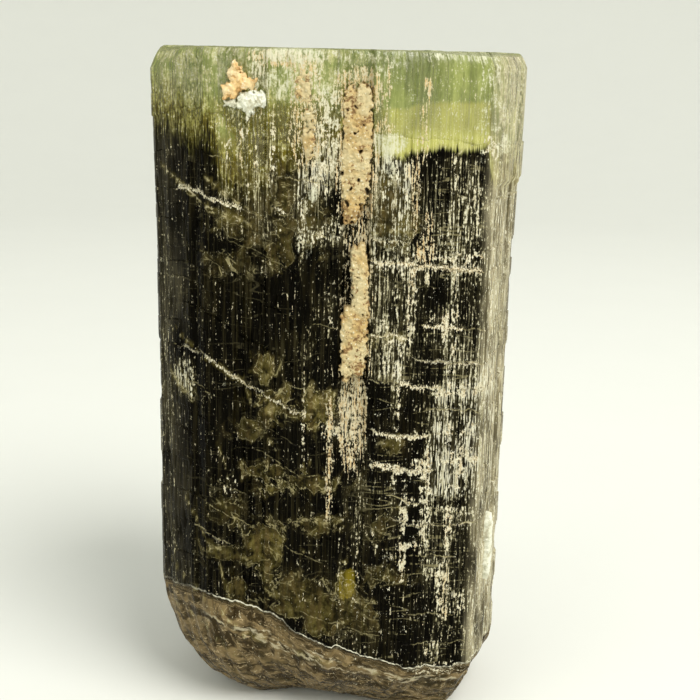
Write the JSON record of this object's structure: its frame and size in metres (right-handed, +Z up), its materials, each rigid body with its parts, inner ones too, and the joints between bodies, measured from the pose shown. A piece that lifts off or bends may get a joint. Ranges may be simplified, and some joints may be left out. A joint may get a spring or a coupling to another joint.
{
  "type": "tourmaline crystal",
  "caption": "Ridged dark green tourmaline prism with a flat green end and a broken base, with clay in its front groove and small white feldspar grains.",
  "frame": {"origin": "middle of the bounding box's bottom, on the flat of the broken base", "axes": "+Z up the prism to its flat green end; -Y out of the broad front face with the groove"},
  "size_m": [0.0316, 0.0262, 0.061],
  "materials": {
    "tourmaline": "satin",
    "clay": "matte",
    "feldspar": "matte"
  },
  "bodies": {
    "root": {"crystal": "tourmaline", "clay_groove_upper": "clay", "clay_groove_lower": "clay", "clay_vein_left": "clay", "clay_patch": "clay", "feldspar_patch": "feldspar", "feldspar_grain": "feldspar"}
  },
  "joints": []
}
